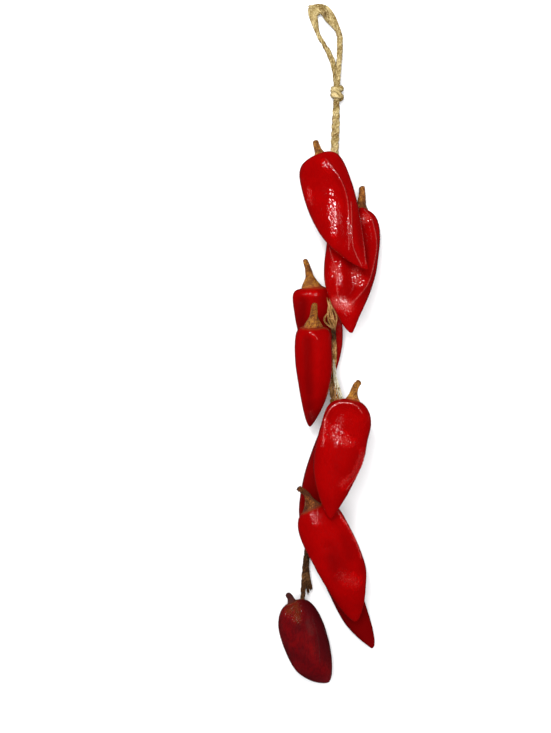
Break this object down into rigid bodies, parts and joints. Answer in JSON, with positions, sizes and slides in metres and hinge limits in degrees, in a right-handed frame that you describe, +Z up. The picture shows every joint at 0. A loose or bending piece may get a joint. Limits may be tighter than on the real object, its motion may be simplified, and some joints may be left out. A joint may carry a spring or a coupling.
{
  "type": "string of artificial chilli peppers",
  "caption": "Glossy red artificial chilli peppers with brown calyxes and stalks, hung one over another on a plaited natural rope with a knot and a hanging loop.",
  "frame": {"origin": "middle of the whole string on the surface it lies on", "axes": "+Y towards the hanging loop, +X to the right of the shown side, +Z up out of the shown side"},
  "size_m": [0.1133, 0.7538, 0.0714],
  "materials": {
    "skin": "glossy, finely crinkled",
    "dark_skin": "dull gloss, dark maroon",
    "stem": "matt, speckled brown",
    "rope": "plaited natural fibre"
  },
  "bodies": {
    "root": {"pepper_1": "skin", "pepper_2": "skin", "pepper_3": "skin", "pepper_4": "skin", "pepper_5": "skin", "pepper_6": "skin", "pepper_7": "skin", "pepper_8": "skin", "pepper_9": "dark_skin", "stem_1": "stem", "stem_2": "stem", "stem_3": "stem", "stem_4": "stem", "stem_5": "stem", "stem_6": "stem", "stem_7": "stem", "stem_8": "stem", "stem_9": "stem", "rope": "rope"}
  },
  "joints": []
}
